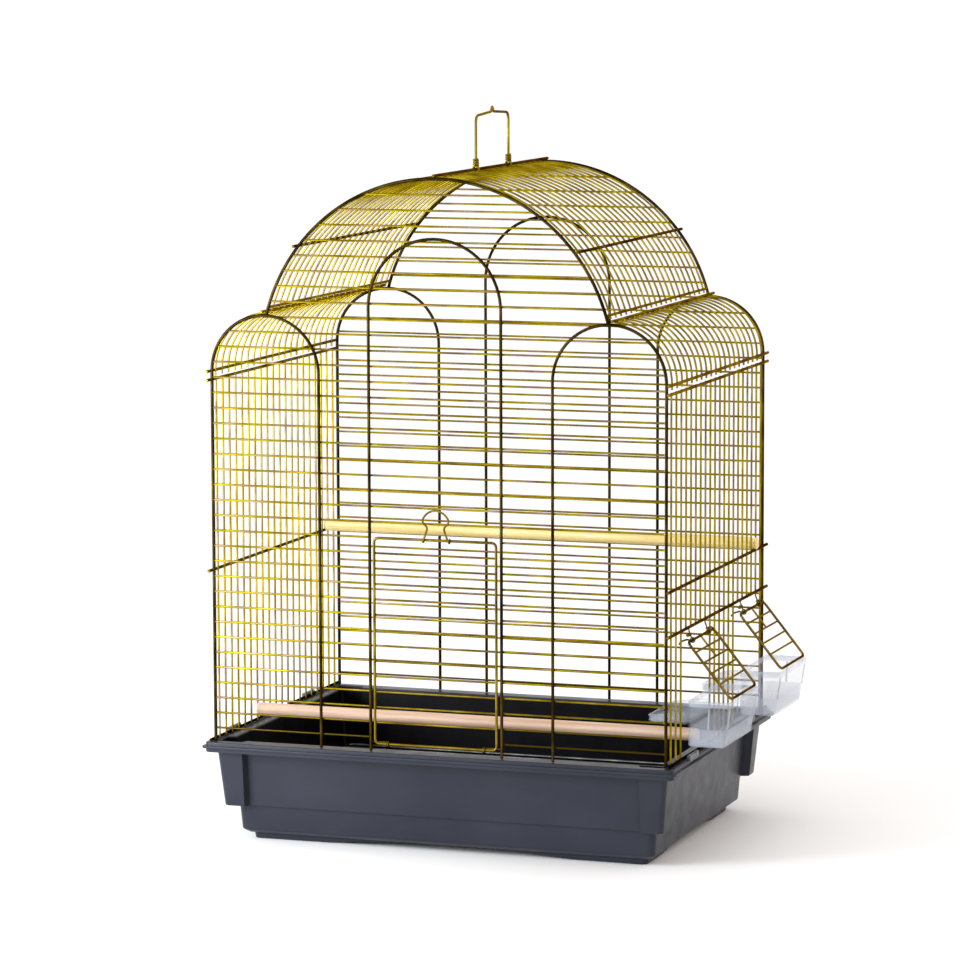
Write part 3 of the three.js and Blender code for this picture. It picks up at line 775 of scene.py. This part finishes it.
def perches():
    """The upper dowel with a turned neck at its right end, and the plain lower one."""
    end = HALF_W + 5.5 * MM
    neck = HALF_W + 0.2 * MM
    through = [
        (-neck, PERCH_R * 0.82),
        (-neck + 1 * MM, PERCH_R),
        (-HALF_W / 2, PERCH_R),
        (0, PERCH_R * 0.99),
        (HALF_W / 2, PERCH_R),
        (neck - 2 * MM, PERCH_R),
        (neck - 1.2 * MM, PERCH_R * 0.8),
        (neck + 1.6 * MM, PERCH_R * 0.8),
        (neck + 2.2 * MM, PERCH_R * 0.95),
        (end - 0.8 * MM, PERCH_R * 0.95),
        (end, PERCH_R * 0.8),
    ]
    upper_y, upper_z = [sum(c[i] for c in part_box("perch_upper")) / 2 for i in (1, 2)]
    mesh = bmesh.new()
    turned(mesh, upper_y, upper_z - RIM_Z, through)
    piece("perch_upper", mesh, PINE, "cage", ["perch_upper"])
    held = [
        (-HALF_W, PERCH_R * 0.84),
        (-HALF_W + 1 * MM, PERCH_R),
        (0, PERCH_R * 0.99),
        (HALF_W - 1 * MM, PERCH_R),
        (HALF_W, PERCH_R * 0.84),
    ]
    lower_y, lower_z = [sum(c[i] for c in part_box("perch_lower")) / 2 for i in (1, 2)]
    mesh = bmesh.new()
    turned(mesh, lower_y, lower_z - RIM_Z, held)
    piece("perch_lower", mesh, BEECH, "cage", ["perch_lower"])


def floor_grille():
    low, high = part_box("floor_grille")
    half_x, half_y = (high.x - low.x - BAR) / 2, (high.y - low.y - BAR) / 2
    z = (low.z + high.z) / 2 - RIM_Z
    mesh = bmesh.new()
    ends = ((-half_x, -half_y), (half_x, -half_y), (half_x, half_y), (-half_x, half_y))
    corners = [place(x, y, z) for x, y in ends]
    wire(mesh, rounded(corners, 7 * MM, closed=True), BAR, closed=True)
    for i in range(1, GRILLE_WIRES + 1):
        y = -half_y + 2 * half_y * i / (GRILLE_WIRES + 1)
        wire(mesh, [place(-half_x, y, z), place(half_x, y, z)], THIN, sides=8)
    piece("floor_grille", mesh, STEEL, "floor_grille", ["floor_grille"])


# ---- Tray -----------------------------------------------------------------------------------
PILLAR_X = 202 * MM             # the corner pillars start here on the long walls
PILLAR_Y = 141 * MM             # and here on the short walls
PILLAR_SLOPE = 1.2 * MM

FOOT_SPAN_X = 130 * MM          # the arches under the foot reach this far from the middle
FOOT_SPAN_Y = 84 * MM
FOOT_RISE = 6 * MM

CLIP_YS = [
    sum(corner.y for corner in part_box("tray_clip_" + spot)) / 2
    for spot in ("front_right", "back_right")
]
NOTCH_HALF = 15.5 * MM          # of the notches in the rim, in which the clips turn

# Each corner of the tray's section, from the middle of its underside round to the inner floor:
# depth below the rim, inset at the pillars, recess between them, corner radius, share of the
# arch under the foot, further inset in a clip's notch, 1 on the inside, and the fillet, in mm.
TRAY_SECTION = [
    (94.5, 46, 0, 4, 0, 0, 0, 0),
    (94.5, 43.5, 0, 4, 0, 0, 0, 0.6),
    (100.5, 43, 0, 4, 1, 0, 0, 0.5),
    (100.5, 39.7, 0, 6, 1, 0, 0, 0.8),
    (94, 38.7, 0, 6, 0, 0, 0, 0.6),
    (94, 35.3, 0, 6.2, 0, 0, 0, 1.5),
    (90, 29.7, 0, 6.4, 0, 0, 0, 1.5),
    (65, 27.8, 0, 6.4, 0, 0, 0, 0.8),
    (65, 17.1, 7.5, 5.4, 0, 0, 0, 1.2),
    (5.4, 11.3, 7.9, 5.4, 0, 0, 0, 0.8),
    (5.2, 5.3, 0, 4, 0, 0, 0, 0.5),
    (10, 5.2, 0, 4, 0, 0, 0, 0.4),
    (10, 2.9, 0, 5.4, 0, 0, 0, 0.5),
    (6, 2.9, 0, 5.4, 0, 0, 0, 0.4),
    (6, 0.1, 0, 5.3, 0, 0, 0, 0.6),
    (3.6, 0.1, 0, 5.3, 0, 0, 0, 0.8),
    (3.6, 2.9, 0, 5.4, 0, 4.2, 0, 0.3),
    (0, 3.0, 0, 5.4, 0, 4.2, 0, 1.1),
    (0, 13.5, 8, 5, 0, 0, 0, 1.0),
    (2.2, 13.7, 8, 5, 0, 0, 1, 0.4),
    (61.5, 19.4, 7.5, 4, 0, 0, 1, 1.2),
    (61.5, 30.1, 0, 5, 0, 0, 1, 1.0),
    (91, 32.1, 0, 5, 0, 0, 1, 2.5),
    (91, 60, 0, 5, 0, 0, 1, 0),
]


def section_points():
    """The tray's section with every corner rounded by its fillet."""
    made = []
    last = len(TRAY_SECTION) - 1
    for i, (*corner, fillet) in enumerate(TRAY_SECTION):
        if i in (0, last):
            made.append(corner)
            continue
        ends = []
        for *other, _ in (TRAY_SECTION[i - 1], TRAY_SECTION[i + 1]):
            length = math.hypot(other[0] - corner[0], other[1] - corner[1])
            share = min(fillet / max(length, 1e-6), 0.45)
            ends.append([a + (b - a) * share for a, b in zip(corner, other)])
        for t in (0, 0.25, 0.5, 0.75, 1):
            weights = ((1 - t) ** 2, 2 * t * (1 - t), t * t)
            columns = zip(ends[0], corner, ends[1])
            made.append([sum(w * v for w, v in zip(weights, values)) for values in columns])
    return made


def side_stations(pillar, straight, span, extra=()):
    """Distances from the middle of a wall at which the tray's rings have their vertices."""
    values = [span * k / 8 for k in range(9)]
    values += [pillar - PILLAR_SLOPE, pillar + PILLAR_SLOPE, *extra]
    limit = (straight - 1 * MM) / (pillar + PILLAR_SLOPE)
    return sorted(v * min(limit, 1) for v in values)


def foot_lift(foot, distance, span):
    """How far the arch under the foot stands above the ground."""
    if foot <= 0 or distance >= span:
        return 0
    return FOOT_RISE * foot * (1 - (distance / span) ** 2)


def tray_ring(mesh, depth, inset, recess, corner, foot, notch, inside, layer):
    """One level of the tray: straight walls with recessed middles, and rounded corners."""
    half_x, half_y = TRAY_W / 2 - inset * MM, TRAY_D / 2 - inset * MM
    corner, recess = corner * MM, recess * MM
    edges = []
    for y in CLIP_YS:
        for end in (abs(y) - NOTCH_HALF, abs(y) + NOTCH_HALF):
            edges += [end - 0.1 * MM, end + 0.1 * MM]
    xs = side_stations(PILLAR_X, half_x - corner, FOOT_SPAN_X)
    ys = side_stations(PILLAR_Y, half_y - corner, FOOT_SPAN_Y, edges)
    quarter = []
    for y in ys:
        x = half_x - (recess if y < PILLAR_Y - PILLAR_SLOPE / 2 else 0)
        quarter.append((x, y, foot_lift(foot, y, FOOT_SPAN_Y)))
    for k in range(9):
        angle = math.pi / 2 * k / 8
        bend = (corner * math.cos(angle), corner * math.sin(angle))
        quarter.append((half_x - corner + bend[0], half_y - corner + bend[1], 0))
    for x in reversed(xs):
        y = half_y - (recess if x < PILLAR_X - PILLAR_SLOPE / 2 else 0)
        quarter.append((x, y, foot_lift(foot, x, FOOT_SPAN_X)))
    inner = quarter[1:-1]
    loop = quarter + [(-x, y, up) for x, y, up in reversed(inner)]
    loop += [(-quarter[0][0], 0, quarter[0][2])]
    loop += [(-x, -y, up) for x, y, up in inner]
    loop += [(0, -quarter[-1][1], quarter[-1][2])]
    loop += [(x, -y, up) for x, y, up in reversed(inner)]
    ring = []
    for x, y, up in loop:
        on_short_wall = abs(x) > half_x - recess - 0.01 * MM
        if on_short_wall and any(abs(y - centre) < NOTCH_HALF for centre in CLIP_YS):
            x -= math.copysign(notch * MM, x)
        vertex = mesh.verts.new(place(x, y, up - depth * MM))
        vertex[layer] = inside
        ring.append(vertex)
    return ring


def tray():
    mesh = bmesh.new()
    # The inside value marks the inner surfaces, which the tray's material paints with shade.
    layer = mesh.verts.layers.float.new(INSIDE)
    rings = [tray_ring(mesh, *level, layer) for level in section_points()]
    bridge(mesh, rings)
    mesh.faces.new(list(reversed(rings[0])))
    mesh.faces.new(rings[-1])
    piece("tray_base", mesh, TRAY, "tray", ["tray_base"], sharp=28)


def tray_clips():
    """Four grip-ribbed clips on the rim of the short sides."""
    for spot in ("front_right", "front_left", "back_right", "back_left"):
        name = "tray_clip_" + spot
        low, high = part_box(name)
        side = 1 if spot.endswith("right") else -1
        inner = low.x if side > 0 else high.x
        depth = high.z - low.z
        width = high.x - low.x
        profile = [(0.0, 0.53), (0.0, 0.12), (0.22, 0.0), (0.9, 0.0), (1.0, 0.2), (0.88, 1.0), (0.3, 1.0)]
        corners = [Vector((inner + side * width * a, 0, low.z + depth * b)) for a, b in profile]
        outline = rounded(corners, 0.5 * MM, closed=True, steps=3)
        centre = sum(outline, Vector()) / len(outline)
        mesh = bmesh.new()
        rings = []
        edge = 0.5 * MM
        ribs = 5
        stations = [(low.y, 0.88), (low.y + edge, 1.0)]
        grip = (high.y - low.y) * 0.5
        for k in range(ribs):
            start = (low.y + high.y - grip) / 2 + grip * k / ribs
            pitch = grip / ribs
            for along, share in ((0, 1.0), (0.25, 0.9), (0.6, 0.9), (0.85, 1.0)):
                stations.append((start + along * pitch, share))
        stations += [(high.y - edge, 1.0), (high.y, 0.88)]
        for y, share in stations:
            shift = Vector((0, y, 0))
            rings.append([mesh.verts.new(centre + (p - centre) * share + shift) for p in outline])
        bridge(mesh, rings)
        mesh.faces.new(list(reversed(rings[0])))
        mesh.faces.new(rings[-1])
        piece(name, mesh, CLIP, name, [name])


# ---- Feeders --------------------------------------------------------------------------------
def rounded_rectangle(x0, x1, y0, y1, corner, steps=5):
    points = []
    centres = ((x1 - corner, y1 - corner, 0), (x0 + corner, y1 - corner, 90),
               (x0 + corner, y0 + corner, 180), (x1 - corner, y0 + corner, 270))
    for cx, cy, start in centres:
        points += arc(cx, cy, corner, start, start + 90, steps)
    return points


def cup(mesh, levels, layer, shape=lambda x, z: z, clarity=lambda x: 1):
    """A closed thin-walled cup from its levels, outside from the bottom up, then down the inside.

    The shape moves a level's height along X, and the clarity scales its thickness along X.
    """
    rings = []
    for z, x0, x1, y0, y1, corner, thickness in levels:
        ring = []
        for x, y in rounded_rectangle(x0, x1, y0, y1, corner):
            vertex = mesh.verts.new(place(x, y, shape(x, z)))
            vertex[layer] = thickness * clarity(x)
            ring.append(vertex)
        rings.append(ring)
    bridge(mesh, rings)
    mesh.faces.new(list(reversed(rings[0])))
    mesh.faces.new(rings[-1])


FEEDER_WALL = 1.5 * MM
FEEDER_LIP = 1.0 * MM
FEEDER_BACK = 236.2 * MM
FEEDER_TAPER = 6.5 * MM
FEEDER_STEP_Z = 30 * MM         # the thicker foot of the cup ends here
SCOOP_REACH = 42 * MM
SCOOP_TOP = 46 * MM
SCOOP_BOTTOM = 33 * MM
SCOOP_SHIFT = 6.25 * MM         # the scoop's middle is this far in front of the cup's
SCOOP_PINCH = 0.5               # the scoop loses this share of its height at its inner end


def feeder_cup(mesh, layer, name):
    """The outer cup, with a rolled rim, a thick foot and upright ribs."""
    low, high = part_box(name)
    bottom, top = low.z - RIM_Z, high.z - RIM_Z
    wall, lip = FEEDER_WALL, FEEDER_LIP
    near, far = low.y + lip * 1.2, high.y - lip * 1.2

    def front_at(z):
        return high.x - CENTRE_X - lip - FEEDER_TAPER * (top - z) / (top - bottom)

    def level(z, grow, corner, thickness):
        back = FEEDER_BACK - min(grow, 0)
        return (z, back, front_at(z) + grow, near - grow, far + grow, corner, thickness)

    rim_low = top - 6 * MM
    cup(mesh, [
        level(bottom, -2.0 * MM, 3 * MM, 1),
        level(bottom + 0.5 * MM, -0.7 * MM, 4 * MM, 1),
        level(bottom + 2.0 * MM, 0, 5 * MM, 1),
        level(FEEDER_STEP_Z - 0.3 * MM, 0, 5 * MM, 0.8),
        level(FEEDER_STEP_Z + 0.3 * MM, 0, 5 * MM, 0),
        level(rim_low, 0, 5 * MM, 0),
        level(rim_low + 0.4 * MM, lip * 0.9, 5.5 * MM, 0.9),
        level(top - 0.5 * MM, lip, 5.5 * MM, 1),
        level(top, lip * 0.6, 5.2 * MM, 1),
        level(top, -wall + 0.3 * MM, 4 * MM, 1),
        level(top - 0.4 * MM, -wall, 3.8 * MM, 0.6),
        level(rim_low, -wall, 3.8 * MM, 0),
        level(FEEDER_STEP_Z, -wall, 3.6 * MM, 0),
        level(bottom + wall + 2 * MM, -wall, 3.5 * MM, 0.4),
        level(bottom + wall, -wall - 1.5 * MM, 3 * MM, 1),
    ], layer)
    middle = (FEEDER_BACK + front_at(rim_low)) / 2
    for y in (near - 0.5 * MM, far + 0.5 * MM):
        feeder_rib(mesh, layer, (middle, y, FEEDER_STEP_Z), (middle + 1 * MM, y, rim_low))
    for share in (0.04, 0.96):
        y = near + (far - near) * share
        x_low, x_high = front_at(FEEDER_STEP_Z), front_at(rim_low)
        feeder_rib(mesh, layer, (x_low, y, FEEDER_STEP_Z), (x_high, y, rim_low))


def feeder_rib(mesh, layer, start, end):
    """A light upright rib on the face of the cup."""
    before = len(mesh.verts)
    wire(mesh, [place(*start), place(*end)], 1.6 * MM, sides=8)
    mesh.verts.ensure_lookup_table()
    for vertex in mesh.verts[before:]:
        vertex[layer] = 1


def feeder_scoop(mesh, layer, name):
    """The shallow dish inside the cage, lower towards the birds and clearer towards the wall."""
    low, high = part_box(name)
    inner_x = low.x - CENTRE_X + 0.5 * MM
    middle = (low.y + high.y) / 2 - SCOOP_SHIFT
    near, far = middle - SCOOP_REACH + 0.5 * MM, middle + SCOOP_REACH - 0.5 * MM
    wall = FEEDER_WALL
    base = SCOOP_BOTTOM + 2 * MM

    def level(z, grow, corner, thickness):
        back = FEEDER_BACK - 0.3 * MM + min(grow, 0)
        return (z, inner_x - grow, back, near - grow, far + grow, corner, thickness)

    def reach_in(x):
        return (FEEDER_BACK - x) / (FEEDER_BACK - inner_x)

    def pinched(x, z):
        return base + (z - base) * (1 - SCOOP_PINCH * reach_in(x))

    def clearer(x):
        return max(0, reach_in(x))

    cup(mesh, [
        level(SCOOP_BOTTOM, -2.5 * MM, 4 * MM, 1),
        level(SCOOP_BOTTOM + 0.7 * MM, -0.9 * MM, 5 * MM, 1),
        level(SCOOP_BOTTOM + 2.5 * MM, 0, 6 * MM, 0.8),
        level(SCOOP_TOP - 1.2 * MM, 0, 6 * MM, 0.4),
        level(SCOOP_TOP - 0.9 * MM, 0.5 * MM, 6.3 * MM, 1),
        level(SCOOP_TOP, 0.4 * MM, 6.2 * MM, 1),
        level(SCOOP_TOP, -wall, 5 * MM, 1),
        level(SCOOP_BOTTOM + wall + 2 * MM, -wall, 5 * MM, 0.5),
        level(SCOOP_BOTTOM + wall, -wall - 1.5 * MM, 4 * MM, 1),
    ], layer, pinched, clearer)


def feeder(spot):
    """A cup outside the wall, with a shallow scoop inside the cage."""
    name = "feeder_" + spot
    mesh = bmesh.new()
    layer = mesh.verts.layers.float.new(THICKNESS)
    feeder_cup(mesh, layer, name)
    feeder_scoop(mesh, layer, name)
    piece(name, mesh, CLEAR, name, [name])


# ---- Stage ----------------------------------------------------------------------------------
def stage_floor():
    mesh = bmesh.new()
    bmesh.ops.create_grid(mesh, x_segments=1, y_segments=1, size=150)
    data = bpy.data.meshes.new("floor")
    mesh.to_mesh(data)
    mesh.free()
    n = Nodes("floor")
    n.shader.inputs["Base Color"].default_value = (0.96, 0.96, 0.96, 1)
    n.shader.inputs["Roughness"].default_value = 0.7
    data.materials.append(n.material)
    floor = bpy.data.objects.new("floor", data)
    bpy.context.scene.collection.objects.link(floor)


def area_light(name, location, target, size, power, colour):
    data = bpy.data.lights.new(name, "AREA")
    data.shape = "RECTANGLE"
    data.size, data.size_y = size
    data.energy = power
    data.color = colour
    light = bpy.data.objects.new(name, data)
    light.location = location
    light.rotation_euler = (target - location).to_track_quat("-Z", "Y").to_euler()
    bpy.context.scene.collection.objects.link(light)


def soft_studio():
    """Even white surroundings, a soft light at the front left and a warm one from the right."""
    world = bpy.data.worlds.new("studio")
    world.use_nodes = True
    tree = world.node_tree
    background = tree.nodes["Background"]
    background.inputs["Color"].default_value = (1, 1, 1, 1)
    background.inputs["Strength"].default_value = 1.08
    bpy.context.scene.world = world
    area_light(
        "key_light",
        location=Vector((-0.8, -0.9, 0.4)),
        target=Vector((-0.28, -0.1, 0.06)),
        size=(0.5, 0.5),
        power=17,
        colour=(0.92, 0.96, 1.0),
    )
    area_light(
        "warm_light",
        location=Vector((2.8, -0.6, 1.9)),
        target=Vector((0, 0, 0.34)),
        size=(1.2, 1.6),
        power=11,
        colour=(1.0, 0.48, 0.20),
    )


def photo_camera():
    """The camera, from its fitted angles and distance."""
    yaw, pitch, roll = math.radians(19.185), math.radians(7.177), math.radians(-0.187)
    distance = 4.300
    target = place(-13.94 * MM, 0, 245.8 * MM)
    level_x, level_y = -math.sin(yaw) * math.cos(pitch), math.cos(yaw) * math.cos(pitch)
    forward = Vector((level_x, level_y, -math.sin(pitch)))
    data = bpy.data.cameras.new("photo_camera")
    data.sensor_width = 36
    data.lens = 162.3
    data.clip_end = 1000
    camera = bpy.data.objects.new("photo_camera", data)
    camera.rotation_mode = "QUATERNION"
    level = forward.to_track_quat("-Z", "Y")
    camera.rotation_quaternion = level @ Quaternion((0, 0, 1), roll)
    camera.location = target - forward * distance
    bpy.context.scene.collection.objects.link(camera)
    bpy.context.scene.camera = camera


# ---- Build ----------------------------------------------------------------------------------
panel("front_panel", -HALF_D, DOOR_TOP_ROW + 1)
panel("back_panel", HALF_D, 0)
arches()
side_panel("right", 1, list(HATCH_YS.values()))
side_panel("left", -1, [])
cross_rail("side_rail_right", 1, MID_RAIL_Z)
cross_rail("side_rail_left", -1, MID_RAIL_Z)
cross_rail("hatch_rail", 1, HATCH_RAIL_Z)
shoulder("right", 1)
shoulder("left", -1)
roof()
roof_bars()
front_door()
door_loops()
door_latch()
for spot, centre in HATCH_YS.items():
    feeder_hatch(spot, centre)
    feeder(spot)
hatch_loops()
handle()
perches()
tray()
floor_grille()
tray_clips()
stage_floor()
soft_studio()
photo_camera()

bpy.context.scene.view_settings.view_transform = "Standard"
